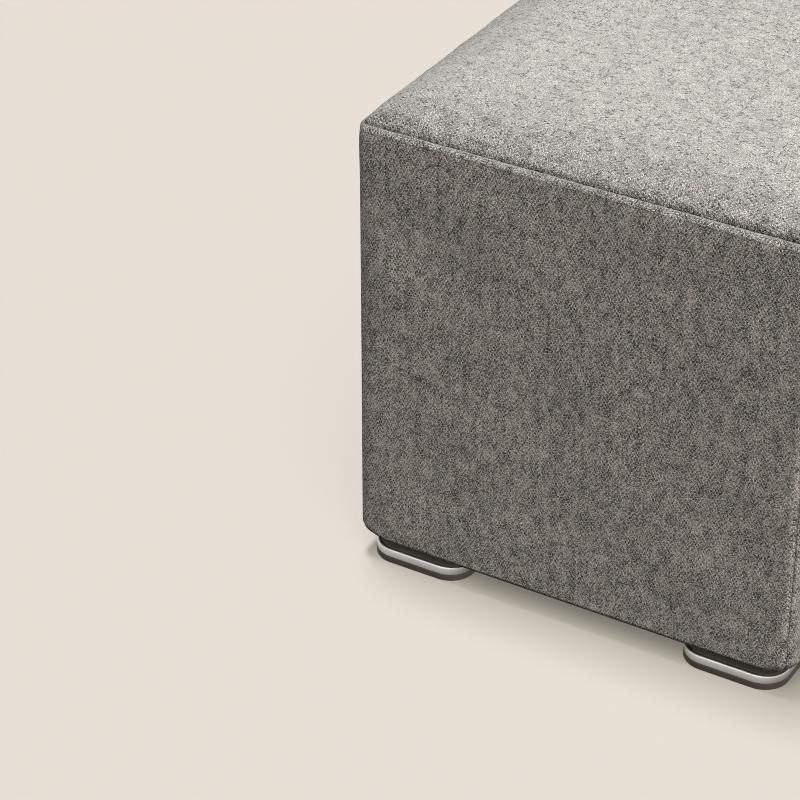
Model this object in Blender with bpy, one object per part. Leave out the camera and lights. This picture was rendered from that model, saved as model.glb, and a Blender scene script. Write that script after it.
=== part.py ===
"""Upholstered cube pouf: a crowned seat panel, four flat side panels, an underside, four low feet.

Metres, +Z up. The floor is z = 0 and the pouf stands centred on the Z axis. -Y is the front.
"""
import bmesh
import bpy
from math import asin, cos, exp, pi, radians, sin, sqrt

# ---- Body -------------------------------------------------------------------------------------
WIDTH = 0.400               # across the flat side panels, both ways
BODY_BOTTOM = 0.0187        # underside of the body above the floor
SEAM_HEIGHT = 0.4120        # seam round the seat above the floor
CROWN = 0.0335              # middle of the seat above that seam
CROWN_REACH = 0.0231        # distance over which the seat's edge swells up
CORNER_FULLNESS = 0.50      # how much sooner the seat swells beside a corner
CORNER_SPREAD = 0.035       # how far from a corner that shows
CORNER_BLEND = 2.5          # sharpness of the blend between two edges' swells

PANEL_THICKNESS = 0.020     # padding and cloth of a side panel
BOARD_THICKNESS = 0.010     # underside
EDGE_RADIUS = 0.0075        # upright edges
BOTTOM_RADIUS = 0.0055      # lower edges
BOTTOM_CORNER = 0.0085      # how much rounder they are at the upright edges
BOTTOM_REACH = 0.014        # how far from one that shows
SEAM_INSET = 0.0046         # the seat's seam lies this far inside the panels' faces
SEAM_DROP = 0.0045          # and this far below the top of the side panels
CREASE_WIDTH = 0.0013       # over which the seat's cloth turns down into the seam
CREASE_DEPTH = 0.0014       # how deep the cloth dips at an upright seam
CREASE_FADE = 0.0020        # over which that dip ends on the ridge's inner side
GAP = 0.0003                # between neighbouring pieces

# The cloth of a side panel rolls over the top edge in a low ridge and down into the seat's seam.
# Each row: how far it stands out from the panel's face, how far it lies below the ridge's top.
RIDGE = [
    # out,      drop
    (0.00000, 0.0095),
    (-0.00014, 0.0069),     # groove
    (0.00000, 0.0055),      # fullest
    (-0.00010, 0.0038),
    (-0.00045, 0.0024),
    (-0.00100, 0.0012),
    (-0.00175, 0.0004),
    (-0.00260, 0.0000),     # top
    (-0.00330, 0.0004),
    (-0.00385, 0.0014),
    (-SEAM_INSET, SEAM_DROP),
]

# ---- Feet: a dark moulding with a metal band round it ------------------------------------------
FOOT_SIZE = 0.0922          # outside, both ways
FOOT_RADIUS = 0.0229        # its upright corners, seen from above
FOOT_INSET_SIDE = 0.0080    # behind the left and right faces of the body
FOOT_INSET_FRONT = 0.0005   # behind the front and back faces of the body
BASE_HEIGHT = 0.0061        # dark foot plate below the band
BASE_CHAMFER = 0.0008
BAND_TOP = 0.0132           # upper rim of the band above the floor
BAND_THICKNESS = 0.0020
BAND_ROUND = 0.0005         # softened rim
BAND_CLEARANCE = 0.0020     # open groove between the band and the moulding's middle
NECK_INSET = 0.0220         # the part that carries the body, out of sight below it

# ---- Divisions of the surfaces -----------------------------------------------------------------
ARC_STEPS = 5               # along half of an upright edge
FLAT_STEPS = [0.004, 0.009, 0.015, 0.023, 0.035]    # columns of a side panel beside one
BOTTOM_STEPS = 7            # along a lower edge
SEAT_STEPS = 14             # along one side of the seat, between its corners
FOOT_STEPS = 9              # along one corner of a foot
SEAT_RINGS = [0.0006, 0.0018, 0.0036, 0.006, 0.009, 0.013, 0.018, 0.025, 0.035, 0.049, 0.068,
              0.095, 0.130, 0.165]  # distance of each ring of the seat from its seam
SHARP_ANGLE = 35            # degrees; sharper edges than this are shaded as edges

HALF = WIDTH / 2
RIM_RADIUS = EDGE_RADIUS - SEAM_INSET       # corners of the seat's seam
MITRE = PANEL_THICKNESS - SEAM_INSET        # slope where the seat rests in the side panels


def clear_scene():
    for item in list(bpy.data.objects):
        bpy.data.objects.remove(item, do_unlink=True)


def make_material(name, colour, roughness, metallic=0.0):
    material = bpy.data.materials.new(name)
    material.use_nodes = True
    shader = material.node_tree.nodes["Principled BSDF"]
    shader.inputs["Base Color"].default_value = (*colour, 1.0)
    shader.inputs["Roughness"].default_value = roughness
    shader.inputs["Metallic"].default_value = metallic
    material.diffuse_color = (*colour, 1.0)
    return material


def make_object(name, loops, material, ring=True, tube=False, turn=0.0, place=(0.0, 0.0, 0.0)):
    """Skin a list of point loops and make a solid of them.

    ring: every loop closes on itself. tube: the last loop joins the first. A skin that doesn't
    close in one of these ways is capped there with a face at each end."""
    mesh = bpy.data.meshes.new(name)
    shape = bmesh.new()
    rows = [[shape.verts.new(point) for point in loop] for loop in loops]
    across = rows + rows[:1] if tube else rows
    for lower, upper in zip(across, across[1:]):
        lower = lower + lower[:1] if ring else lower
        upper = upper + upper[:1] if ring else upper
        for k in range(len(lower) - 1):
            shape.faces.new((lower[k], lower[k + 1], upper[k + 1], upper[k]))
    if not tube:
        shape.faces.new(rows[0])
        shape.faces.new(rows[-1])
    if not ring:
        shape.faces.new([row[0] for row in rows])
        shape.faces.new([row[-1] for row in rows])
    bmesh.ops.recalc_face_normals(shape, faces=shape.faces)
    shape.to_mesh(mesh)
    shape.free()
    mesh.shade_smooth()
    mesh.set_sharp_from_angle(angle=radians(SHARP_ANGLE))
    mesh.materials.append(material)
    item = bpy.data.objects.new(name, mesh)
    item.rotation_euler[2] = turn
    item.location = place
    bpy.context.scene.collection.objects.link(item)
    return item


# ---- Side panels --------------------------------------------------------------------------------
def side_profile(to_seam):
    """The outline of a side panel at a distance from its nearest upright seam, from its inner
    bottom edge up the outside and back down.

    Each row: how far out from the face, height, radius of the upright edge, how deep the upright
    seam dips there."""
    radius = BOTTOM_RADIUS + BOTTOM_CORNER * exp(-(to_seam / BOTTOM_REACH) ** 2)
    rows = [(-PANEL_THICKNESS, BODY_BOTTOM, EDGE_RADIUS, 0.0)]
    for k in range(BOTTOM_STEPS + 1):
        angle = pi / 2 * k / BOTTOM_STEPS
        out = -radius * (1 - sin(angle))
        height = BODY_BOTTOM + radius * (1 - cos(angle))
        rows.append((out, height, EDGE_RADIUS, CREASE_DEPTH * sin(angle)))
    for out, drop in RIDGE:
        dip = CREASE_DEPTH * min(1.0, (SEAM_INSET + out) / CREASE_FADE)
        rows.append((out, SEAM_HEIGHT - drop, EDGE_RADIUS + out, dip))
    rows.append((-PANEL_THICKNESS, SEAM_HEIGHT - SEAM_DROP - MITRE, RIM_RADIUS, 0.0))
    return rows


def panel_column(inset, share):
    """One outline of a side panel, on its right half.

    It lies on the flat face, inset from where the upright edge starts, or share of the way
    round that edge. The last one is half a gap short of the corner's diagonal, and dips in along
    that diagonal."""
    to_seam = EDGE_RADIUS * pi / 4 * (1 - share) + inset
    column = []
    for out, height, radius, crease in side_profile(to_seam):
        centre = HALF + out - radius
        angle = share * (pi / 4 - asin(GAP / 2 / radius))
        dip = crease / sqrt(2) if share == 1.0 else 0.0
        x = centre - inset + radius * sin(angle) - dip
        y = -centre - radius * cos(angle) + dip
        column.append((x, y, height))
    return column


def side_panel(name, turn, material):
    right = [panel_column(inset, 0.0) for inset in reversed(FLAT_STEPS)]
    right += [panel_column(0.0, k / ARC_STEPS) for k in range(ARC_STEPS + 1)]
    left = [[(-x, y, z) for x, y, z in column] for column in reversed(right)]
    rows = list(zip(*(left + right)))
    return make_object(name, rows, material, ring=False, tube=True, turn=turn)


# ---- Rounded squares, for the seat and the feet ---------------------------------------------------
def rounded_square(half, radius, arc_steps, side_steps):
    """Points round a square with rounded corners, anticlockwise seen from above."""
    centre = half - radius
    points = []
    for quarter in range(4):
        turn = quarter * pi / 2
        local = []
        for k in range(arc_steps + 1):
            angle = -pi / 4 + pi / 2 * (k / arc_steps)
            local.append((centre + radius * cos(angle + pi / 4), centre + radius * sin(angle + pi / 4)))
        for k in range(1, side_steps):
            local.append((centre - 2 * centre * k / side_steps, half))
        for x, y in local:
            points.append((x * cos(turn) - y * sin(turn), x * sin(turn) + y * cos(turn)))
    return points


# ---- Seat ---------------------------------------------------------------------------------------
def seat_height(x, y, half):
    """Height of the seat's surface above its seam: each edge swells as 1 - exp(-d / reach), d
    being the distance to that edge, and the two nearest edges blend where they meet."""
    near_x = max(half - abs(x), 1e-6)
    near_y = max(half - abs(y), 1e-6)
    reach = CROWN_REACH / (1 + CORNER_FULLNESS * exp(-max(near_x, near_y) / CORNER_SPREAD))
    swell_x = 1 - exp(-near_x / reach)
    swell_y = 1 - exp(-near_y / reach)
    blend = swell_x ** -CORNER_BLEND + swell_y ** -CORNER_BLEND - 1
    return CROWN * blend ** (-1 / CORNER_BLEND)


def seat_panel(name, material):
    """The seat: a flat underside, a mitred rim that rests in the side panels, a crowned top."""
    edge = HALF - SEAM_INSET - GAP * sqrt(2)
    rim = SEAM_HEIGHT - SEAM_DROP
    loops = []
    for half, height in ((edge - MITRE, rim - MITRE), (edge, rim)):
        ring = rounded_square(half, RIM_RADIUS, ARC_STEPS, SEAT_STEPS)
        loops.append([(x, y, height) for x, y in ring])
    for inset in SEAT_RINGS:
        ring = rounded_square(edge - inset, RIM_RADIUS, ARC_STEPS, SEAT_STEPS)
        dip = SEAM_DROP * exp(-inset / CREASE_WIDTH)
        loops.append([(x, y, SEAM_HEIGHT - dip + seat_height(x, y, edge)) for x, y in ring])
    return make_object(name, loops, material)


def underside_panel(name, material):
    """The cloth-covered board that closes the body below, inside the wrapped lower edges."""
    ring = rounded_square(HALF - PANEL_THICKNESS - GAP, EDGE_RADIUS, ARC_STEPS, 1)
    loops = [[(x, y, BODY_BOTTOM + rise) for x, y in ring] for rise in (0.0, BOARD_THICKNESS)]
    return make_object(name, loops, material)


# ---- Feet -----------------------------------------------------------------------------------------
def foot_loops(rows):
    """Loops of a foot's outline, one for each row of inset and height."""
    loops = []
    for inset, height in rows:
        radius = max(FOOT_RADIUS - inset, BAND_THICKNESS)
        ring = rounded_square(FOOT_SIZE / 2 - inset, radius, FOOT_STEPS, 1)
        loops.append([(x, y, height) for x, y in ring])
    return loops


def foot_moulding(name, place, material):
    """Foot plate, raised middle inside the band, and the neck that carries the body."""
    middle = BAND_THICKNESS + BAND_CLEARANCE
    rows = [
        (BASE_CHAMFER, 0.0),
        (0.0, BASE_CHAMFER),
        (0.0, BASE_HEIGHT),
        (middle, BASE_HEIGHT),
        (middle, BAND_TOP - BAND_ROUND),
        (middle + BAND_ROUND, BAND_TOP),
        (NECK_INSET, BAND_TOP),
        (NECK_INSET, BODY_BOTTOM - GAP),
    ]
    return make_object(name, foot_loops(rows), material, place=place)


def foot_band(name, place, material):
    """The metal band that stands on the foot plate's edge."""
    bottom = BASE_HEIGHT + GAP
    rows = [
        (BAND_THICKNESS, bottom),
        (0.0, bottom),
        (0.0, BAND_TOP - BAND_ROUND),
        (BAND_ROUND, BAND_TOP),
        (BAND_THICKNESS - BAND_ROUND, BAND_TOP),
        (BAND_THICKNESS, BAND_TOP - BAND_ROUND),
    ]
    return make_object(name, foot_loops(rows), material, tube=True, place=place)


def build():
    clear_scene()
    cloth = make_material("upholstery_cloth", (0.300, 0.283, 0.260), 0.95)
    lining = make_material("underside_cloth", (0.030, 0.029, 0.028), 0.95)
    plastic = make_material("foot_plastic", (0.045, 0.036, 0.033), 0.55)
    metal = make_material("foot_metal", (0.62, 0.61, 0.60), 0.35, metallic=1.0)

    for k, side in enumerate(("front", "right", "back", "left")):
        side_panel(f"{side}_panel", k * pi / 2, cloth)
    seat_panel("seat_panel", cloth)
    underside_panel("underside_panel", lining)

    across = HALF - FOOT_INSET_SIDE - FOOT_SIZE / 2
    along = HALF - FOOT_INSET_FRONT - FOOT_SIZE / 2
    for end, y in (("front", -along), ("back", along)):
        for side, x in (("left", -across), ("right", across)):
            foot_moulding(f"foot_{end}_{side}", (x, y, 0.0), plastic)
            foot_band(f"band_{end}_{side}", (x, y, 0.0), metal)


build()
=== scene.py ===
"""An upholstered cube pouf: padded seat and side panels in a grey melange weave, a dark cloth
underside, and four low feet with metal bands. Metres, +Z up, -Y to the front."""

from math import pi, radians

import bmesh
import bpy
import numpy as np
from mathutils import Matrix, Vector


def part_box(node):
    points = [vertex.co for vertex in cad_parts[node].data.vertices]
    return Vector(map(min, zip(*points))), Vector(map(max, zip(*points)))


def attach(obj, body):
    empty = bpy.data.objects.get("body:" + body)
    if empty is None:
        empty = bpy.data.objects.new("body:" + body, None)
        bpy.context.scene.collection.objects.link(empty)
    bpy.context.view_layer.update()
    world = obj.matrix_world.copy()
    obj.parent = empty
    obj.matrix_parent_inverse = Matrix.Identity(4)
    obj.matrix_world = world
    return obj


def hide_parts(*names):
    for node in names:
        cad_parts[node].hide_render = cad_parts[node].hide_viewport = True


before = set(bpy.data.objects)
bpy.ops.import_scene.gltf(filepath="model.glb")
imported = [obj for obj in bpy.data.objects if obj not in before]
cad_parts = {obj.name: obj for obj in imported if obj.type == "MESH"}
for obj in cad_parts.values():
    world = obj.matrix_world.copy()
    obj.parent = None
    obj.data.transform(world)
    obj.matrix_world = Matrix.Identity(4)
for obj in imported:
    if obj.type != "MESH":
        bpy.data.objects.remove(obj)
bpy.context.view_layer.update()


# ---- Camera ---------------------------------------------------------------------------------
# The picture is taken from above the front right corner with a long lens. The pouf stands in
# the right half of the frame and runs out of it at the top and the right.
VIEW_PLACE = (0.924, -2.023, 1.524)
VIEW_AZIMUTH = 30.71
VIEW_ELEVATION = 32.60
VIEW_LENS = 137.97      # mm
VIEW_FRAME = 36.0       # mm
VIEW_REACH = 50.0       # nothing is farther from the camera

view = bpy.data.cameras.new("view")
view.lens = VIEW_LENS
view.sensor_width = VIEW_FRAME
view.clip_end = VIEW_REACH
camera = bpy.data.objects.new("view", view)
camera.location = VIEW_PLACE
camera.rotation_euler = (radians(90 - VIEW_ELEVATION), 0.0, radians(VIEW_AZIMUTH))
bpy.context.scene.collection.objects.link(camera)
bpy.context.scene.camera = camera


# ---- Floor and light ------------------------------------------------------------------------
# A plain pale studio floor. A lamp hangs nearly overhead and a broad, warmer one stands in front.
# Two more without a shadow light the pouf from behind and from the right, an even grey surround
# does the rest, and a faint lamp shows only in the metal.
FLOOR_SIZE = 12.0
LAMP_PLACE = (0.0, 0.0, 3.0)    # any place will do: the lamps are distant ones
FLOOR_COLOUR = (0.2170, 0.2000, 0.1860)
LAMP_COLOUR = (1.00, 1.00, 1.07)
WARM_COLOUR = (1.01, 1.005, 0.905)
TOP_STRENGTH = 5.1
TOP_SPREAD = 13.0           # degrees across, as seen from the pouf
FRONT_STRENGTH = 4.4
FRONT_SPREAD = 58.0
BACK_STRENGTH = 2.8
RIGHT_STRENGTH = 5.3
GLINT_STRENGTH = 0.8
SURROUND_COLOUR = (1.03, 1.00, 0.88)
SURROUND_STRENGTH = 0.08
MIRRORED_STRENGTH = 0.88    # the brighter studio that the metal mirrors


def make_lamp(name, strength, spread, colour, azimuth, height, mirrored=False):
    """A distant lamp; its azimuth runs from the front towards the right, its height from the
    floor. One without a spread casts no shadow. A mirrored one shows in the metal alone."""
    lamp = bpy.data.lights.new(name, "SUN")
    lamp.energy = strength
    lamp.color = colour
    lamp.angle = radians(spread)
    lamp.use_shadow = spread > 0
    item = bpy.data.objects.new(name, lamp)
    item.visible_glossy = mirrored
    item.visible_diffuse = not mirrored
    item.rotation_euler = (radians(90 - height), 0.0, radians(azimuth))
    item.location = LAMP_PLACE
    bpy.context.scene.collection.objects.link(item)


make_lamp("top", TOP_STRENGTH, TOP_SPREAD, LAMP_COLOUR, azimuth=-111.0, height=83.0)
make_lamp("front", FRONT_STRENGTH, FRONT_SPREAD, WARM_COLOUR, azimuth=7.0, height=59.0)
make_lamp("back", BACK_STRENGTH, 0.0, WARM_COLOUR, azimuth=180.0, height=30.0)
make_lamp("right", RIGHT_STRENGTH, 0.0, WARM_COLOUR, azimuth=84.0, height=12.0)
make_lamp("glint", GLINT_STRENGTH, FRONT_SPREAD, WARM_COLOUR, azimuth=10.0, height=55.0, mirrored=True)

surround = bpy.data.worlds.new("surround")
surround.use_nodes = True
sky = surround.node_tree.nodes["Background"]
sky.inputs["Color"].default_value = (*SURROUND_COLOUR, 1.0)
ray = surround.node_tree.nodes.new("ShaderNodeLightPath")
sky_strength = surround.node_tree.nodes.new("ShaderNodeMath")
sky_strength.operation = "MULTIPLY_ADD"
sky_strength.inputs[1].default_value = MIRRORED_STRENGTH
sky_strength.inputs[2].default_value = SURROUND_STRENGTH
surround.node_tree.links.new(ray.outputs["Is Glossy Ray"], sky_strength.inputs[0])
surround.node_tree.links.new(sky_strength.outputs[0], sky.inputs["Strength"])
surround.cycles.sampling_method = "NONE"
bpy.context.scene.world = surround
bpy.context.scene.view_settings.view_transform = "Standard"
bpy.context.scene.cycles.use_denoising = True
bpy.context.scene.cycles.denoising_prefilter = "NONE"   # keeps the cloth's grain
bpy.context.scene.cycles.filter_width = 1.0
bpy.context.scene.cycles.caustics_reflective = False    # no stray bright dots beside the metal
bpy.context.scene.cycles.caustics_refractive = False

floor_material = bpy.data.materials.new("floor")
floor_material.use_nodes = True
floor_shader = floor_material.node_tree.nodes["Principled BSDF"]
floor_shader.inputs["Base Color"].default_value = (*FLOOR_COLOUR, 1.0)
floor_shader.inputs["Roughness"].default_value = 1.0
floor_shader.inputs["Specular IOR Level"].default_value = 0.0

floor_mesh = bpy.data.meshes.new("floor")
edge = FLOOR_SIZE / 2
floor_mesh.from_pydata(
    [(-edge, -edge, 0), (edge, -edge, 0), (edge, edge, 0), (-edge, edge, 0)], [], [(0, 1, 2, 3)]
)
floor_mesh.materials.append(floor_material)
floor = bpy.data.objects.new("floor", floor_mesh)
floor.visible_diffuse = False       # its bounced light would wash out the cloth's lower half
bpy.context.scene.collection.objects.link(floor)


# ---- Seat -----------------------------------------------------------------------------------
# The seat is one panel of melange cloth over thick foam. It is sewn to the side panels all
# round, so it swells up steeply from the seam, levels out, and puckers slightly at the stitches.
SEAM_INSET = 0.0046         # the seam lies this far inside the side panels' faces
SEAM_DROP = 0.0045          # and this far under the ridge
CREASE_WIDTH = 0.0013       # over which the seat's cloth turns down into the seam
CREASE_UNEVEN = 0.22        # share by which that width varies
CREASE_LENGTH = 0.022       # along the seam, from one wide place to the next
CORNER_SHALLOW = 0.6        # the crease is that much less deep at the corners
CORNER_CLOSE = 0.012        # within this distance of them
PANEL_THICKNESS = 0.020
EDGE_RADIUS = 0.0075        # upright edges of the body
GAP = 0.0003                # between one piece and the next
CROWN_REACH = 0.0231        # distance over which the seat's edge swells up
CORNER_FULLNESS = 0.50      # share by which the swell is quicker beside a corner
CORNER_SPREAD = 0.035
CORNER_BLEND = 2.5
RIM_PAINTED_SHADE = 0.09             # faint painted shade on the seat's swelling edge
RIM_REACH = 0.045
SEAT_PUCKER = 0.00030       # height of the puckers beside the seam
SEAT_PUCKER_START = 0.0015  # they begin this far from it
SEAT_PUCKER_REACH = 0.009   # and fade over this much
PUCKER_LENGTH = 0.008       # from one pucker to the next
SEAT_WAVES = 0.0006         # unevenness of the foam
SEAT_WAVE_LENGTH = 0.095
SEAT_WAVE_START = 0.030
SEAT_CORNER_STEPS = 10      # mesh steps round a corner, along a side and in from the seam
SEAT_SIDE_STEPS = 150
SEAT_ROWS = 96
FIRST_ROW = 0.0002          # the rows crowd together towards the seam
CLOSE_ROWS = 0.11
ROW_POWER = 2.2
MIDDLE_HOLE = 0.0013        # half width of the flat cap that closes the middle

front_low, front_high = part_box("front_panel")
seat_low, seat_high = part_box("seat_panel")
HALF = -front_low.y
BODY_BOTTOM = front_low.z
SEAM_HEIGHT = front_high.z
CROWN = seat_high.z - SEAM_HEIGHT
MITRE = PANEL_THICKNESS - SEAM_INSET
RIM_RADIUS = EDGE_RADIUS - SEAM_INSET


def unevenness(u, v, length, seed, waves=14):
    """Smooth random relief of about unit height: the mean of cosine waves in random directions
    and phases, their lengths spread round the given one."""
    random = np.random.default_rng(seed)
    total = np.zeros(np.broadcast(u, v).shape)
    for _ in range(waves):
        angle = random.uniform(0, 2 * pi)
        size = length * random.uniform(0.65, 1.5)
        phase = random.uniform(0, 2 * pi)
        total += np.cos(2 * pi * (u * np.cos(angle) + v * np.sin(angle)) / size + phase)
    return total / np.sqrt(waves / 2)


def rounded_square(half, radius, arc_steps, side_steps):
    """x and y round squares with rounded corners, a row for each half width and radius: a
    quarter circle, then a straight side, turned by quarters."""
    half = np.asarray(half, float)[:, None]
    radius = np.asarray(radius, float)[:, None]
    centre = half - radius
    angle = np.linspace(0, pi / 2, arc_steps + 1)
    along = 1 - 2 * np.arange(1, side_steps) / side_steps
    x = np.concatenate([centre + radius * np.cos(angle), centre * along], axis=1)
    y = np.concatenate([centre + radius * np.sin(angle), half + 0 * along], axis=1)
    return np.concatenate([x, -y, -x, y], axis=1), np.concatenate([y, x, -y, -x], axis=1)


def make_piece(name, grid, material, ring=True, tube=False, around=None, around_name="threads",
               painted_shade=None, sharp=50):
    """A closed mesh over a grid of points (rows, columns, xyz). ring joins the last column to
    the first, tube the last row to the first; ends that stay open get a cap. around holds a
    pair of coordinates for each point, kept as the named UV map. The painted shade for each
    point, an amount of darkening, is kept beside one that is 0 where the surface is level and
    1 where it is upright."""
    rows, columns = grid.shape[:2]
    index = np.arange(rows * columns).reshape(rows, columns)
    wide = np.concatenate([index, index[:, :1]], axis=1) if ring else index
    full = np.concatenate([wide, wide[:1]], axis=0) if tube else wide
    faces = np.stack([full[:-1, :-1], full[:-1, 1:], full[1:, 1:], full[1:, :-1]], axis=-1)
    faces = faces.reshape(-1, 4).tolist()
    if not tube:
        faces += [index[0].tolist(), index[-1].tolist()]
    if not ring:
        faces += [index[:, 0].tolist(), index[:, -1].tolist()]
    mesh = bpy.data.meshes.new(name)
    mesh.from_pydata(grid.reshape(-1, 3).tolist(), [], faces)
    shape = bmesh.new()
    shape.from_mesh(mesh)
    bmesh.ops.recalc_face_normals(shape, faces=shape.faces)
    shape.to_mesh(mesh)
    shape.free()
    if around is not None:
        corners = np.empty(len(mesh.loops), np.int32)
        mesh.loops.foreach_get("vertex_index", corners)
        layer = mesh.uv_layers.new(name=around_name)
        layer.uv.foreach_set("vector", around.reshape(-1, 2)[corners].astype(np.float32).ravel())
    if painted_shade is not None:
        # upright lets the material paint an upright surface darker: painted shade
        normal = np.empty(3 * rows * columns, np.float32)
        mesh.vertex_normals.foreach_get("vector", normal)
        upright = 1 - np.clip(normal.reshape(-1, 3)[:, 2], 0, 1)
        mesh.attributes.new("painted_shade", "FLOAT", "POINT").data.foreach_set("value", painted_shade.ravel())
        mesh.attributes.new("upright", "FLOAT", "POINT").data.foreach_set("value", upright)
    mesh.shade_smooth()
    mesh.set_sharp_from_angle(angle=radians(sharp))
    mesh.materials.append(material)
    item = bpy.data.objects.new(name, mesh)
    bpy.context.scene.collection.objects.link(item)
    return item


# The cloth is a crepe weave of soft melange yarns, a mid grey warp over a paler weft, with
# charcoal yarns that come and go. Its draft repeats over six warp yarns and five picks: each warp
# yarn lies on the face for two picks in five, a few picks on from its neighbours. All cloth
# pieces share it.
WARP_PITCH = 0.001277
WEFT_PITCH = 0.000982
DRAFT_ENDS = 6
DRAFT_PICKS = 5
FACE_PICKS = 2
WEAVE_HEIGHT = 0.00050
WARP_ARCH = 0.6             # share of a warp yarn's height that rises and falls along it
WEFT_LEVEL = 0.6            # a weft yarn's height, and its rise beside the warp
WEFT_ARCH = 0.25
DRIFT = 2.4                 # the draft drifts by up to this many yarns
DRIFT_SCALE = 30.0          # features a metre, here and in the scales below
WOBBLE = 0.8                # and each yarn wobbles by up to this many
WOBBLE_SCALE = 330.0
FIBRE_SCALE = (2300.0, 1400.0)      # across the warp and along it
PATCH_SCALE = (110.0, 60.0)
TONE_SCALE = (3.37, 9.0)            # the first of a pair counts in yarns from here on
WARP_RUN_SCALE = (7.31, 160.0)
WEFT_RUN_SCALE = (5.17, 110.0)
FIBRE_HEIGHT = 1.6          # the fibres' part in the relief, beside the yarns'
# of these parts, the one for the hollows is painted shade; the others are the cloth's own tones
TONE_SHARES = {"crossing": 1.0, "fibres": 6.4, "warp": 0.9, "patches": 1.3, "face": -0.8, "hollow_shade": -1.3}
FACE_MEAN = FACE_PICKS / DRAFT_PICKS
HOLLOW_TOP = 0.5            # a place lower than this lies in a hollow, which gets painted shade
HOLLOW_MEAN = 0.3
WARP_RUN_TONE = 0.6         # the paler warp yarns have more charcoal runs
WARP_RUN = (0.90, 1.06)     # a run sets in between these
WEFT_RUN = (0.64, 0.78)
CHARCOAL = 1.10             # a charcoal yarn is exp(-1.1) as light as the others
SUNK_CHARCOAL = 0.35        # share of that where the yarn lies under the others
PAINTED_SHADE_STRENGTH = 1.5            # painted shade: the cloth deep in a seam is painted exp(-1.5) as light
CREASE_PAINTED_SHADE_REACH = 0.0013
BOW = 0.20                  # holds the palest yarns back
LEVEL_COLOUR = (0.2090, 0.2018, 0.1932)
# an upright face gets a darker copy of the level colour: painted shade
UPRIGHT_PAINTED_SHADE_COLOUR = (0.1340, 0.1224, 0.1194)
LEVEL_DEPTH = 0.42
UPRIGHT_PAINTED_SHADE_DEPTH = 1.64        # painted shade: the yarns' hollows are painted darker on an upright face
ROSE = (1.018, 0.992, 1.005)
GREEN = (0.982, 1.008, 0.995)
HUE_SCALE = 120.0
HUE_TURN = (0.3, 0.7)       # from rose to green
CLOTH_SHINE = 0.1


def add_node(tree, kind, values, **settings):
    """A node with its inputs set or linked, by name or number; returns its first output."""
    node = tree.nodes.new(kind)
    for key, value in settings.items():
        setattr(node, key, value)
    for key, value in values.items():
        if isinstance(value, bpy.types.NodeSocket):
            tree.links.new(value, node.inputs[key])
        else:
            node.inputs[key].default_value = value
    return node.outputs[0]


def math(tree, operation, *values):
    return add_node(tree, "ShaderNodeMath", dict(enumerate(values)), operation=operation)


def point(tree, x, y, z=0.0):
    return add_node(tree, "ShaderNodeCombineXYZ", {0: x, 1: y, 2: z})


def noise(tree, where, scale, detail=1.0, dimensions="2D"):
    values = {"Vector": where, "Scale": scale, "Detail": detail}
    return add_node(tree, "ShaderNodeTexNoise", values, noise_dimensions=dimensions)


def stretched_noise(tree, u, v, scale, detail=1.0):
    """Noise whose grain differs in size along u and v."""
    where = point(tree, math(tree, "MULTIPLY", u, scale[0]), math(tree, "MULTIPLY", v, scale[1]))
    return noise(tree, where, 1.0, detail)


def ease(tree, value, low, high, start=0.0, end=1.0):
    """start below low, end above high, and a smooth step between."""
    values = {"Value": value, 1: low, 2: high, 3: start, 4: end}
    return add_node(tree, "ShaderNodeMapRange", values, interpolation_type="SMOOTHSTEP")


def mix_colour(tree, factor, first, second, blend="MIX"):
    node = tree.nodes.new("ShaderNodeMix")
    node.data_type = "RGBA"
    node.blend_type = blend
    for socket, value in ((node.inputs[0], factor), (node.inputs[6], first), (node.inputs[7], second)):
        if isinstance(value, bpy.types.NodeSocket):
            tree.links.new(value, socket)
        elif isinstance(value, tuple):
            socket.default_value = (*value, 1.0)
        else:
            socket.default_value = value
    return node.outputs[2]


def yarn_count(tree, along, pitch, where):
    """Which yarn lies at a place, in yarns from the origin: along / pitch, a little astray."""
    count = math(tree, "DIVIDE", along, pitch)
    count = math(tree, "MULTIPLY_ADD", noise(tree, where, DRIFT_SCALE, 2.0), DRIFT, count)
    return math(tree, "MULTIPLY_ADD", noise(tree, where, WOBBLE_SCALE, 1.0), WOBBLE, count)


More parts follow.
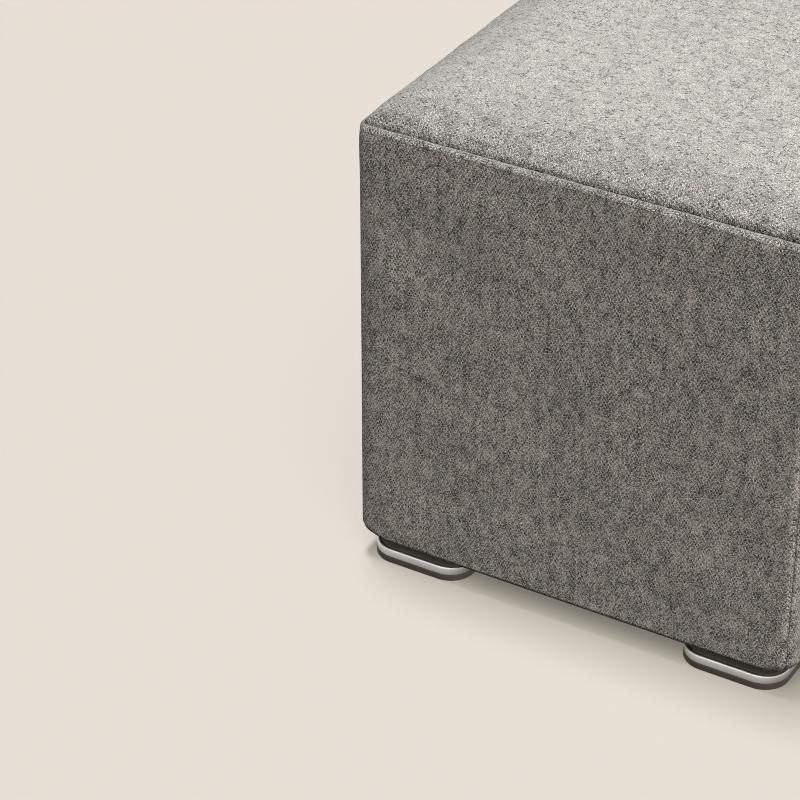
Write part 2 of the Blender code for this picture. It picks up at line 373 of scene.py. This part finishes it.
def make_cloth():
    """Melange crepe on the UV map "threads", in metres: the warp runs along its second axis.

    step(i) = 0, 2, 0, 3, 1, 3 picks for the six warp yarns; yarn i is on the face where
    (v / pitch + step) modulo 5 is below 2. The colour is multiplied by
    exp(t (1 - bow t) - charcoal dark - painted shade) with t = depth * tone. tone adds up the
    parts of TONE_SHARES, each about its own mean: the crossings, the fibres, each warp yarn, the
    cloth's patches, the yarns on the face and the painted shade in the hollows beside them. dark
    is 1 where a run of charcoal yarn lies on the face. depth and the colour go from the level to
    the upright values as a face stands up: an upright face gets painted shade. The painted shade
    kept on the mesh lies in seams, on the ridge and the seat's rim, and where the cloth turns
    under the body."""
    material = bpy.data.materials.new("melange")
    material.use_nodes = True
    tree = material.node_tree
    shader = tree.nodes["Principled BSDF"]
    place = add_node(tree, "ShaderNodeUVMap", {}, uv_map="threads")
    split = tree.nodes.new("ShaderNodeSeparateXYZ")
    tree.links.new(place, split.inputs[0])
    u, v = split.outputs[0], split.outputs[1]
    swapped = point(tree, v, u)

    across = yarn_count(tree, u, WARP_PITCH, place)
    upward = yarn_count(tree, v, WEFT_PITCH, swapped)
    end = math(tree, "FLOOR", across)
    pick = math(tree, "FLOOR", upward)
    aside = math(tree, "SUBTRACT", math(tree, "FRACT", across), 0.5)
    above = math(tree, "SUBTRACT", math(tree, "FRACT", upward), 0.5)

    # second is 1 for yarns 3, 4 and 5 of the draft, and middle is 1 for yarns 1 and 4.
    drafted = math(tree, "FLOORED_MODULO", end, DRAFT_ENDS)
    second = math(tree, "GREATER_THAN", drafted, 2.5)
    middle = math(tree, "COMPARE", math(tree, "FLOORED_MODULO", end, 3.0), 1.0, 0.5)
    swing = math(tree, "MULTIPLY_ADD", second, -4.0, 2.0)
    step = math(tree, "MULTIPLY_ADD", middle, swing, math(tree, "MULTIPLY", second, 3.0))
    turn = math(tree, "FLOORED_MODULO", math(tree, "ADD", upward, step), DRAFT_PICKS)
    on_face = math(tree, "LESS_THAN", turn, FACE_PICKS)

    round_warp = math(tree, "COSINE", math(tree, "MULTIPLY", aside, pi))
    round_weft = math(tree, "COSINE", math(tree, "MULTIPLY", above, pi))
    arch = math(tree, "SINE", math(tree, "MULTIPLY", turn, pi / FACE_PICKS))
    along_warp = math(tree, "MULTIPLY_ADD", arch, WARP_ARCH, 1 - WARP_ARCH)
    along_weft = math(tree, "MULTIPLY_ADD", round_warp, WEFT_ARCH, WEFT_LEVEL)
    warp_rise = math(tree, "MULTIPLY", round_warp, along_warp)
    weft_rise = math(tree, "MULTIPLY", round_weft, along_weft)
    rise = add_node(tree, "ShaderNodeMix", {0: on_face, 2: weft_rise, 3: warp_rise})

    cell = tree.nodes.new("ShaderNodeTexWhiteNoise")
    cell.noise_dimensions = "2D"
    tree.links.new(point(tree, end, pick), cell.inputs["Vector"])
    chance = tree.nodes.new("ShaderNodeSeparateColor")
    tree.links.new(cell.outputs["Color"], chance.inputs[0])
    fibres = stretched_noise(tree, u, v, FIBRE_SCALE, 2.0)
    warp_tone = stretched_noise(tree, end, v, TONE_SCALE)
    warp_run = stretched_noise(tree, end, v, WARP_RUN_SCALE)
    weft_run = stretched_noise(tree, pick, u, WEFT_RUN_SCALE)
    warp_run = math(tree, "MULTIPLY_ADD", warp_tone, WARP_RUN_TONE, warp_run)
    warp_dark = ease(tree, warp_run, *WARP_RUN)
    weft_dark = ease(tree, weft_run, *WEFT_RUN)
    sunk_dark = math(tree, "MAXIMUM", weft_dark, math(tree, "MULTIPLY", warp_dark, SUNK_CHARCOAL))
    dark = add_node(tree, "ShaderNodeMix", {0: on_face, 2: sunk_dark, 3: warp_dark})
    # painted shade in the weave's hollows, where the yarns lie low
    hollow_shade = ease(tree, rise, 0.0, HOLLOW_TOP, 1.0, 0.0)
    patches = stretched_noise(tree, u, v, PATCH_SCALE, 2.0)

    tone = 0.0
    for part, value, mean in (
        ("crossing", chance.outputs[1], 0.5), ("fibres", fibres, 0.5), ("warp", warp_tone, 0.5),
        ("patches", patches, 0.5), ("face", on_face, FACE_MEAN), ("hollow_shade", hollow_shade, HOLLOW_MEAN),
    ):
        about_mean = math(tree, "SUBTRACT", value, mean)
        tone = math(tree, "MULTIPLY_ADD", about_mean, TONE_SHARES[part], tone)
    # painted shade kept on the mesh darkens the cloth: in seams and creases, on the ridge and the seat's
    # rim, and where the cloth turns under
    painted_shade = tree.nodes.new("ShaderNodeAttribute")
    painted_shade.attribute_name = "painted_shade"
    upright = tree.nodes.new("ShaderNodeAttribute")
    upright.attribute_name = "upright"
    # an upright face gets a deeper tone: painted shade in its hollows
    depth = ease(tree, upright.outputs["Fac"], 0.0, 1.0, LEVEL_DEPTH, UPRIGHT_PAINTED_SHADE_DEPTH)
    tone = math(tree, "MULTIPLY", tone, depth)
    tone = math(tree, "MULTIPLY", tone, math(tree, "MULTIPLY_ADD", tone, -BOW, 1.0))
    tone = math(tree, "MULTIPLY_ADD", painted_shade.outputs["Fac"], -PAINTED_SHADE_STRENGTH, tone)
    factor = math(tree, "EXPONENT", math(tree, "MULTIPLY_ADD", dark, -CHARCOAL, tone))
    hue = ease(tree, noise(tree, place, HUE_SCALE, 1.0), *HUE_TURN)
    # and a darker colour on an upright face: painted shade
    tint = mix_colour(tree, upright.outputs["Fac"], LEVEL_COLOUR, UPRIGHT_PAINTED_SHADE_COLOUR)
    tint = mix_colour(tree, 1.0, tint, mix_colour(tree, hue, ROSE, GREEN), "MULTIPLY")
    tint = mix_colour(tree, 1.0, tint, point(tree, factor, factor, factor), "MULTIPLY")

    height = math(tree, "MULTIPLY_ADD", fibres, FIBRE_HEIGHT, rise)
    bump = tree.nodes.new("ShaderNodeBump")
    bump.inputs["Strength"].default_value = 1.0
    bump.inputs["Distance"].default_value = WEAVE_HEIGHT
    tree.links.new(height, bump.inputs["Height"])

    tree.links.new(tint, shader.inputs["Base Color"])
    tree.links.new(bump.outputs[0], shader.inputs["Normal"])
    shader.inputs["Roughness"].default_value = 1.0
    shader.inputs["Specular IOR Level"].default_value = CLOTH_SHINE
    return material


cloth = make_cloth()


def swell(inset):
    """How far an edge has swelled at a distance from its seam: 1 - exp(-distance / reach)."""
    return 1 - np.exp(-inset / CROWN_REACH)


def seat_height(x, y, half):
    """Height above the seam: the swells of the two nearest edges, blended so that the lower one
    counts most, and a little fuller beside a corner."""
    near_x = np.maximum(half - np.abs(x), 1e-6)
    near_y = np.maximum(half - np.abs(y), 1e-6)
    fuller = 1 + CORNER_FULLNESS * np.exp(-np.maximum(near_x, near_y) / CORNER_SPREAD)
    blend = swell(near_x * fuller) ** -CORNER_BLEND + swell(near_y * fuller) ** -CORNER_BLEND - 1
    return CROWN * blend ** (-1 / CORNER_BLEND)


def cloth_length(x, half):
    """Length along the cloth from the middle to x, over the crown: the integral of
    sqrt(1 + slope squared) of the swell."""
    inset = np.linspace(0, half, 2000)
    slope = CROWN / CROWN_REACH * np.exp(-inset / CROWN_REACH)
    step = np.sqrt(1 + slope ** 2)
    length = np.concatenate([[0], np.cumsum((step[1:] + step[:-1]) / 2 * np.diff(inset))])
    return np.sign(x) * (length[-1] - np.interp(half - np.abs(x), inset, length))


seat_edge = HALF - SEAM_INSET - GAP * np.sqrt(2)
share = np.linspace(0, 1, SEAT_ROWS)
spread = CLOSE_ROWS * share + (1 - CLOSE_ROWS) * share ** ROW_POWER
insets = FIRST_ROW + (seat_edge - FIRST_ROW - MIDDLE_HOLE) * spread
rim = SEAM_HEIGHT - SEAM_DROP
halves = np.concatenate([[seat_edge - MITRE, seat_edge], seat_edge - insets])
radii = np.minimum(RIM_RADIUS, halves / 2)
seat_x, seat_y = rounded_square(halves, radii, SEAT_CORNER_STEPS, SEAT_SIDE_STEPS)
column = np.arange(seat_x.shape[1]) / seat_x.shape[1] * 8 * HALF
depth = np.concatenate([[0, 0], insets])[:, None]
pucker = unevenness(column, 0 * column, PUCKER_LENGTH, 11)
pucker = SEAT_PUCKER * pucker * np.exp(-depth / SEAT_PUCKER_REACH)
pucker = pucker * (1 - np.exp(-depth / SEAT_PUCKER_START))
waves = SEAT_WAVES * unevenness(seat_x, seat_y, SEAT_WAVE_LENGTH, 12)
waves = waves * (1 - np.exp(-depth / SEAT_WAVE_START))
crease_width = CREASE_WIDTH * (1 + CREASE_UNEVEN * unevenness(column, 0 * column, CREASE_LENGTH, 13))
to_corner = np.hypot(seat_edge - np.abs(seat_x), seat_edge - np.abs(seat_y))
shallow = 1 - CORNER_SHALLOW * np.exp(-(to_corner / CORNER_CLOSE) ** 2)
seat_z = SEAM_HEIGHT - SEAM_DROP * shallow * np.exp(-depth / crease_width)
seat_z = seat_z + seat_height(seat_x, seat_y, seat_edge) + pucker + waves
seat_z[0] = rim - MITRE
seat_z[1] = rim
threads = np.stack([cloth_length(seat_y, seat_edge), cloth_length(seat_x, seat_edge)], axis=-1)
# painted shade: deep in the seat's crease, less at the corners, and faint over the seat's swelling rim
seat_painted_shade = np.exp(-depth / CREASE_PAINTED_SHADE_REACH) * shallow + RIM_PAINTED_SHADE * np.exp(-depth / RIM_REACH)
seat = make_piece("seat_cover", np.stack([seat_x, seat_y, seat_z], axis=-1), cloth,
                  around=threads, painted_shade=seat_painted_shade)
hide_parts("seat_panel")
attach(seat, "root")


# ---- Side panels ----------------------------------------------------------------------------
# Four flat panels of the same cloth over thin padding and board. Each rolls over the top edge
# in a low ridge that holds the seam allowance, meets its neighbours in an upright seam on the
# body's corner, and wraps under the lower edge.
BOTTOM_RADIUS = 0.0055      # lower edge
BOTTOM_CORNER = 0.0085      # and this much more at the corners
BOTTOM_REACH = 0.014
RIDGE = np.array([
    # out,      drop below the panel's height
    (0.00000, 0.0095),
    (-0.00004, 0.0082),
    (-0.00010, 0.0069),     # groove
    (-0.00006, 0.0060),
    (0.00004, 0.0051),      # fullest
    (-0.00010, 0.0038),
    (-0.00045, 0.0024),
    (-0.00100, 0.0012),
    (-0.00175, 0.0004),
    (-0.00260, 0.0001),     # top
    (-0.00330, 0.0004),
    (-0.00385, 0.0014),
    (-SEAM_INSET, SEAM_DROP),
])
RIDGE_LIES = 0.003          # the ridge is this far under the panel's top
RIDGE_WIDTH = 0.0035
SIDE_WAVES = 0.00035        # unevenness of the padding
SIDE_WAVE_LENGTH = 0.12
WAVE_MARGIN = 0.040         # it fades out towards the upper and lower edges
STILL_CORNER = 0.020        # and so do waves and puckers towards the upright seams
SIDE_HOLLOW = 0.0003        # how far a face sinks between its edges
SIDE_BULGE = 0.0013         # and how far its padding stands out beside them
BULGE_REACH = 0.010         # over which it does so from an upright seam
BULGE_RISE = 0.050          # and from the upper and lower edges
RIDGE_PUCKER = 0.00016
RIDGE_WANDER = 0.00030      # slower unevenness of the ridge
WANDER_LENGTH = 0.035
CORNER_TUCK = 0.0008        # how far the ridge draws in at the corners
TUCK_WIDTH = 0.012
TUCK_HEIGHT = 0.010
SEAM_DIP = 0.0014           # how deep and wide the cloth rolls into an upright seam
SEAM_ROLL = 0.0016
SEAM_FADE = 0.0020          # over which that roll ends on the ridge's inner side
RIDGE_PAINTED_SHADE = 0.22           # painted shade on the ridge's top, growing to full painted shade down its inner side into the seam
SEAM_PAINTED_SHADE = 0.22            # painted shade beside an upright seam
SEAM_PAINTED_SHADE_REACH = 0.0030
BOTTOM_PAINTED_SHADE = 0.50          # painted shade where the cloth turns under the body
BOTTOM_SHARE = 0.25         # share of that turn over which it sets in
EDGE_SOFT = 0.0016          # an upright edge is that much rounder below the ridge
EDGE_SOFTENED = 0.030
PANEL_SPACING = 0.9         # of the four panels' places on the cloth, so that none looks alike
TURN_STEPS = 13
TURN_POWER = 1.6            # the columns crowd together towards an upright seam
RUN_STEPS = 160
FACE_STEPS = 66
RIDGE_STEPS = 34
WRAP_EDGE = 0.003           # a row of the mesh lies this far from the wrap's hidden edge


def smooth_curve(points, count):
    """Points on a Catmull-Rom curve through the given ones, evenly spread over its spans."""
    ends = np.concatenate([2 * points[:1] - points[1:2], points, 2 * points[-1:] - points[-2:-1]])
    where = np.linspace(0, len(points) - 1, count)
    span = np.minimum(where.astype(int), len(points) - 2)
    t = (where - span)[:, None]
    a, b, c, d = ends[span], ends[span + 1], ends[span + 2], ends[span + 3]
    return 0.5 * (2 * b + (c - a) * t + (2 * a - 5 * b + 4 * c - d) * t ** 2
                  + (3 * b - a - 3 * c + d) * t ** 3)


def side_panel(name, node, quarter, seed):
    """A closed outline of (out, height) rows carried along a quarter of the body's plan.

    The plan is a straight run with an eighth of a circle at each end; there the cloth dips into
    the seam by exp(-distance / roll). Between its edges a face stands out a little, by
    1 - exp(-distance / reach) from each, and is uneven."""
    turn = 1 - (1 - np.linspace(0, 1, TURN_STEPS)) ** TURN_POWER
    straight = HALF - EDGE_RADIUS
    run = np.linspace(-1, 1, RUN_STEPS)[1:-1]
    bend = np.concatenate([-turn[::-1], 0 * run, turn])
    flat = np.concatenate([-np.ones(TURN_STEPS), run, np.ones(TURN_STEPS)])
    along = flat * straight + bend * EDGE_RADIUS * pi / 4
    to_seam = EDGE_RADIUS * pi / 4 * (1 - np.abs(bend)) + straight * (1 - np.abs(flat))

    under = np.linspace(0, pi / 2, TURN_STEPS)[:, None]
    radius = BOTTOM_RADIUS + BOTTOM_CORNER * np.exp(-(to_seam / BOTTOM_REACH) ** 2)
    ridge = smooth_curve(RIDGE, RIDGE_STEPS)
    ridge_height = SEAM_HEIGHT - ridge[:, 1:]
    share = np.linspace(0, 1, FACE_STEPS)[1:-1, None]
    face_height = (BODY_BOTTOM + radius) * (1 - share) + ridge_height[0] * share
    wrap = np.array([[-PANEL_THICKNESS], [-PANEL_THICKNESS + WRAP_EDGE]])
    wide = 0 * along
    out = np.concatenate([wrap + wide, radius * (np.sin(under) - 1), 0 * face_height,
                          ridge[:, :1] + wide, [-PANEL_THICKNESS + wide]])
    height = np.concatenate([BODY_BOTTOM + 0 * wrap + wide, BODY_BOTTOM + radius * (1 - np.cos(under)),
                             face_height, ridge_height + wide, [SEAM_HEIGHT - SEAM_DROP - MITRE + wide]])
    step = np.hypot(np.diff(out, axis=0), np.diff(height, axis=0))
    upward = np.concatenate([[wide], np.cumsum(step, axis=0)])
    upward = upward - upward[-len(ridge) - 1] + ridge_height[0]
    shown = np.ones((len(out), 1))
    shown[:2] = 0
    shown[-2:] = 0      # the seam and the edge inside it stay straight

    inside = 1 - np.exp(-(to_seam / STILL_CORNER) ** 2)
    top_drop = SEAM_HEIGHT - height
    bottom_rise = height - BODY_BOTTOM
    body = np.clip(bottom_rise / WAVE_MARGIN, 0, 1) * np.clip(top_drop / WAVE_MARGIN, 0, 1)
    relief = SIDE_WAVES * unevenness(along, height, SIDE_WAVE_LENGTH, seed) * inside * body
    rise = np.clip(bottom_rise / (SEAM_HEIGHT - BODY_BOTTOM), 0, 1)
    relief = relief - SIDE_HOLLOW * np.sin(pi * rise) * shown
    padding = (1 - np.exp(-to_seam / BULGE_REACH)) * (1 - np.exp(-np.maximum(top_drop, 0) / BULGE_RISE))
    padding = padding * (1 - np.exp(-bottom_rise / BULGE_RISE))
    relief = relief + SIDE_BULGE * padding * shown
    pucker = RIDGE_PUCKER * unevenness(along, 0 * along, PUCKER_LENGTH, seed + 1)
    pucker = pucker + RIDGE_WANDER * unevenness(along, 0 * along, WANDER_LENGTH, seed + 2)
    on_ridge = np.exp(-((top_drop - RIDGE_LIES) / RIDGE_WIDTH) ** 2)
    relief = relief + pucker * on_ridge * inside
    tuck = CORNER_TUCK * np.exp(-(to_seam / TUCK_WIDTH) ** 2) * np.exp(-(top_drop / TUCK_HEIGHT) ** 2)
    in_ridge = (top_drop < RIDGE[0, 1]) & (out > -0.5 * PANEL_THICKNESS)
    softer = EDGE_SOFT * (1 - np.exp(-(np.maximum(top_drop - RIDGE[0, 1], 0) / EDGE_SOFTENED) ** 2))
    edge_radius = np.where(in_ridge, EDGE_RADIUS + np.minimum(out, 0), EDGE_RADIUS + softer)
    edge_radius[-1] = RIM_RADIUS
    fade = np.where(in_ridge, np.clip((SEAM_INSET + out) / SEAM_FADE, 0, 1), 1.0)
    # painted shade: on the ridge, beside the upright seams, and where the cloth turns under the body
    painted_shade = np.where(in_ridge, RIDGE_PAINTED_SHADE * np.clip(1 - top_drop / RIDGE_LIES, 0, 1), 0.0)
    painted_shade = np.where(in_ridge & (fade < 1), RIDGE_PAINTED_SHADE + (1 - RIDGE_PAINTED_SHADE) * (1 - fade), painted_shade)
    painted_shade = painted_shade + SEAM_PAINTED_SHADE * np.exp(-to_seam / SEAM_PAINTED_SHADE_REACH)
    painted_shade = painted_shade + BOTTOM_PAINTED_SHADE * np.clip((1 - bottom_rise / radius) / BOTTOM_SHARE, 0, 1)
    out = out + (relief - tuck) * shown
    dip = SEAM_DIP * np.exp(-to_seam / SEAM_ROLL) * shown * fade

    centre = HALF + out - edge_radius
    facing = bend * (pi / 4 - np.arcsin(GAP / 2 / edge_radius))
    x = flat * centre + edge_radius * np.sin(facing) - np.sign(bend) * dip / np.sqrt(2)
    y = -centre - edge_radius * np.cos(facing) + np.abs(np.sign(bend)) * dip / np.sqrt(2)
    threads = np.stack([along + 0 * upward + quarter * PANEL_SPACING, upward], axis=-1)
    for _ in range(quarter):
        x, y = -y, x
    item = make_piece(name, np.stack([x, y, height], axis=-1), cloth, ring=False, tube=True,
                      around=threads, painted_shade=painted_shade)
    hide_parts(node)
    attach(item, "root")
    return item


side_panel("front_cover", "front_panel", 0, 21)
side_panel("right_cover", "right_panel", 1, 31)
side_panel("back_cover", "back_panel", 2, 41)
side_panel("left_cover", "left_panel", 3, 51)


# ---- Underside ------------------------------------------------------------------------------
# A board covered in dark non-woven cloth closes the body below, inside the wrapped lower edges.
UNDERSIDE_COLOUR = (0.030, 0.029, 0.028)
UNDERSIDE_LIGHTER = 1.6     # its palest patches
UNDERSIDE_PATCHES = 45.0    # features a metre, here and in the next two
DIMPLES = 620.0
UNDERSIDE_FIBRES = 2600.0
DIMPLE_EDGE = (0.10, 0.45)
DIMPLE_DEPTH = 0.0002
BOARD_THICKNESS = 0.010
BOARD_ROUND = 0.0008
BOARD_CORNER_STEPS = 10     # mesh steps round a corner and along a side
BOARD_SIDE_STEPS = 24


def make_underside_cloth():
    """Non-woven cloth: small pressed dimples in fine fibres."""
    material = bpy.data.materials.new("underside_cloth")
    material.use_nodes = True
    tree = material.node_tree
    shader = tree.nodes["Principled BSDF"]
    place = tree.nodes.new("ShaderNodeTexCoord").outputs["Object"]
    dimple = add_node(tree, "ShaderNodeTexVoronoi", {"Vector": place, "Scale": DIMPLES})
    fibres = noise(tree, place, UNDERSIDE_FIBRES, 3.0, "3D")
    height = math(tree, "MULTIPLY_ADD", fibres, 0.5, ease(tree, dimple, *DIMPLE_EDGE))
    bump = tree.nodes.new("ShaderNodeBump")
    bump.inputs["Strength"].default_value = 0.5
    bump.inputs["Distance"].default_value = DIMPLE_DEPTH
    tree.links.new(height, bump.inputs["Height"])
    tree.links.new(bump.outputs[0], shader.inputs["Normal"])
    patchy = noise(tree, place, UNDERSIDE_PATCHES, 3.0, "3D")
    lighter = tuple(UNDERSIDE_LIGHTER * part for part in UNDERSIDE_COLOUR)
    tree.links.new(mix_colour(tree, patchy, UNDERSIDE_COLOUR, lighter), shader.inputs["Base Color"])
    shader.inputs["Roughness"].default_value = 0.9
    return material


board_inset = np.array([BOARD_ROUND, 0.3 * BOARD_ROUND, 0.0, 0.0])
board_rise = np.array([0.0, 0.3 * BOARD_ROUND, BOARD_ROUND, BOARD_THICKNESS])
board_half = HALF - PANEL_THICKNESS - GAP - board_inset
board_radius = EDGE_RADIUS + 0 * board_half
board_x, board_y = rounded_square(board_half, board_radius, BOARD_CORNER_STEPS, BOARD_SIDE_STEPS)
board_z = BODY_BOTTOM + board_rise[:, None] + 0 * board_x
underside = make_piece("underside_board", np.stack([board_x, board_y, board_z], axis=-1),
                       make_underside_cloth())
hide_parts("underside_panel")
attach(underside, "root")


# ---- Feet -----------------------------------------------------------------------------------
# Each foot is a dark plastic moulding: a foot plate, a raised middle inside the band, and a
# neck under the body. The same outline is carried round a square with rounded corners.
FOOT_SIZE = 0.0922
FOOT_RADIUS = 0.0229
BASE_HEIGHT = 0.0057
BAND_TOP = 0.0132
BAND_THICKNESS = 0.0020
BAND_CLEARANCE = 0.0020
NECK_INSET = 0.0220
SOLE_INSET = 0.006          # a row of the mesh lies this far inside the sole's edge
FOOT_CORNER_STEPS = 22      # mesh steps round a corner and along a side
FOOT_SIDE_STEPS = 10
PLASTIC_COLOUR = (0.0270, 0.0220, 0.0195)
PLASTIC_LIGHTER = 1.3       # its palest patches
PLASTIC_PATCHES = 60.0      # features a metre
PLASTIC_GRAIN = 1900.0
PLASTIC_RELIEF = 0.0001
PLASTIC_ROUGHNESS = 0.55
PLASTIC_SHINE = 0.32


def soften(corners, closed, steps=6):
    """An outline through (inset, height, round) corners, each replaced by a quadratic curve that
    leaves the straight lines one round before and after it."""
    corners = np.asarray(corners, float)
    spot, size = corners[:, :2], corners[:, 2:]
    before, after = np.roll(spot, 1, axis=0), np.roll(spot, -1, axis=0)
    if not closed:
        before[0], after[-1] = spot[0], spot[-1]
    back, ahead = before - spot, after - spot
    back = back / np.maximum(np.linalg.norm(back, axis=1, keepdims=True), 1e-9)
    ahead = ahead / np.maximum(np.linalg.norm(ahead, axis=1, keepdims=True), 1e-9)
    t = np.linspace(0, 1, steps)[None, :, None]
    a, b, c = (spot + size * back)[:, None], spot[:, None], (spot + size * ahead)[:, None]
    return ((1 - t) ** 2 * a + 2 * t * (1 - t) * b + t ** 2 * c).reshape(-1, 2)


def foot_piece(name, node, corners, closed, material):
    """A foot's outline carried round its plan, over the centre of its CAD node."""
    low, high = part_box(node)
    outline = soften(corners, closed)
    half = FOOT_SIZE / 2 - outline[:, 0]
    radius = np.clip(FOOT_RADIUS - outline[:, 0], BAND_THICKNESS, half)
    x, y = rounded_square(half, radius, FOOT_CORNER_STEPS, FOOT_SIDE_STEPS)
    z = outline[:, 1:] + 0 * x
    length = np.cumsum(np.hypot(np.diff(x[0], append=x[0, 0]), np.diff(y[0], append=y[0, 0])))
    around = np.stack([length + 0 * z, z], axis=-1)
    centre = (low + high) / 2
    grid = np.stack([x + centre.x, y + centre.y, z], axis=-1)
    item = make_piece(name, grid, material, tube=closed, around=around, around_name="round", sharp=35)
    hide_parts(node)
    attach(item, "root")
    return item


def make_plastic():
    """Satin dark brown plastic with a fine moulded grain."""
    material = bpy.data.materials.new("foot_plastic")
    material.use_nodes = True
    tree = material.node_tree
    shader = tree.nodes["Principled BSDF"]
    place = tree.nodes.new("ShaderNodeTexCoord").outputs["Object"]
    grain = noise(tree, place, PLASTIC_GRAIN, 2.0, "3D")
    bump = tree.nodes.new("ShaderNodeBump")
    bump.inputs["Strength"].default_value = 0.25
    bump.inputs["Distance"].default_value = PLASTIC_RELIEF
    tree.links.new(grain, bump.inputs["Height"])
    tree.links.new(bump.outputs[0], shader.inputs["Normal"])
    lighter = tuple(PLASTIC_LIGHTER * part for part in PLASTIC_COLOUR)
    patchy = noise(tree, place, PLASTIC_PATCHES, 2.0, "3D")
    tree.links.new(mix_colour(tree, patchy, PLASTIC_COLOUR, lighter), shader.inputs["Base Color"])
    shader.inputs["Roughness"].default_value = PLASTIC_ROUGHNESS
    shader.inputs["Specular IOR Level"].default_value = PLASTIC_SHINE
    return material


middle = BAND_THICKNESS + BAND_CLEARANCE
MOULDING = [
    # inset, height, round
    (SOLE_INSET, 0.0, 0.0),
    (0.0, 0.0, 0.0008),
    (0.0, BASE_HEIGHT, 0.0004),
    (middle, BASE_HEIGHT, 0.0002),
    (middle, BAND_TOP, 0.0006),
    (NECK_INSET, BAND_TOP, 0.0005),
    (NECK_INSET, BODY_BOTTOM - GAP, 0.0),
]
plastic = make_plastic()
for spot in ("front_left", "front_right", "back_left", "back_right"):
    foot_piece(f"moulding_{spot}", f"foot_{spot}", MOULDING, False, plastic)


# ---- Metal bands ----------------------------------------------------------------------------
# A satin steel band stands on the edge of each foot plate. It is bent from strip, brushed along
# its length, with softened rims.
METAL_COLOUR = (0.67, 0.68, 0.72)
METAL_PAINTED_LOWER_REFLECTION = (0.48, 0.48, 0.51)    # painted reflection: darker towards the lower rim, where the band mirrors the dark foot plate
METAL_ROUGHNESS = (0.38, 0.50)
BRUSHING = (60.0, 4200.0, 1.0)      # features a metre, along the band and across it
BRUSHING_DEPTH = 0.00002
BAND = [
    # inset, height, round
    (BAND_THICKNESS, BASE_HEIGHT + GAP, 0.0003),
    (0.0003, BASE_HEIGHT + GAP, 0.0004),
    (0.0, (BASE_HEIGHT + BAND_TOP) / 2, 0.0020),
    (0.0002, BAND_TOP, 0.0016),
    (BAND_THICKNESS, BAND_TOP, 0.0004),
]


def make_metal():
    """Brushed steel: fine streaks along the band vary its height and roughness; its colour is painted
    darker towards the lower rim, a painted reflection.
    """
    material = bpy.data.materials.new("foot_metal")
    material.use_nodes = True
    tree = material.node_tree
    shader = tree.nodes["Principled BSDF"]
    place = add_node(tree, "ShaderNodeUVMap", {}, uv_map="round")
    mapping = tree.nodes.new("ShaderNodeMapping")
    mapping.inputs["Scale"].default_value = BRUSHING
    tree.links.new(place, mapping.inputs["Vector"])
    streaks = noise(tree, mapping.outputs[0], 1.0, 3.0)
    bump = tree.nodes.new("ShaderNodeBump")
    bump.inputs["Strength"].default_value = 0.10
    bump.inputs["Distance"].default_value = BRUSHING_DEPTH
    tree.links.new(streaks, bump.inputs["Height"])
    tree.links.new(bump.outputs[0], shader.inputs["Normal"])
    tree.links.new(ease(tree, streaks, 0.2, 0.8, *METAL_ROUGHNESS), shader.inputs["Roughness"])
    split = tree.nodes.new("ShaderNodeSeparateXYZ")
    tree.links.new(place, split.inputs[0])
    # painted reflection: the colour darkens from the band's top to its lower rim
    upper = add_node(tree, "ShaderNodeMapRange", {"Value": split.outputs[1], 1: BASE_HEIGHT, 2: BAND_TOP})
    tree.links.new(mix_colour(tree, upper, METAL_PAINTED_LOWER_REFLECTION, METAL_COLOUR), shader.inputs["Base Color"])
    shader.inputs["Metallic"].default_value = 1.0
    return material


metal = make_metal()
for spot in ("front_left", "front_right", "back_left", "back_right"):
    foot_piece(f"steel_band_{spot}", f"band_{spot}", BAND, True, metal)
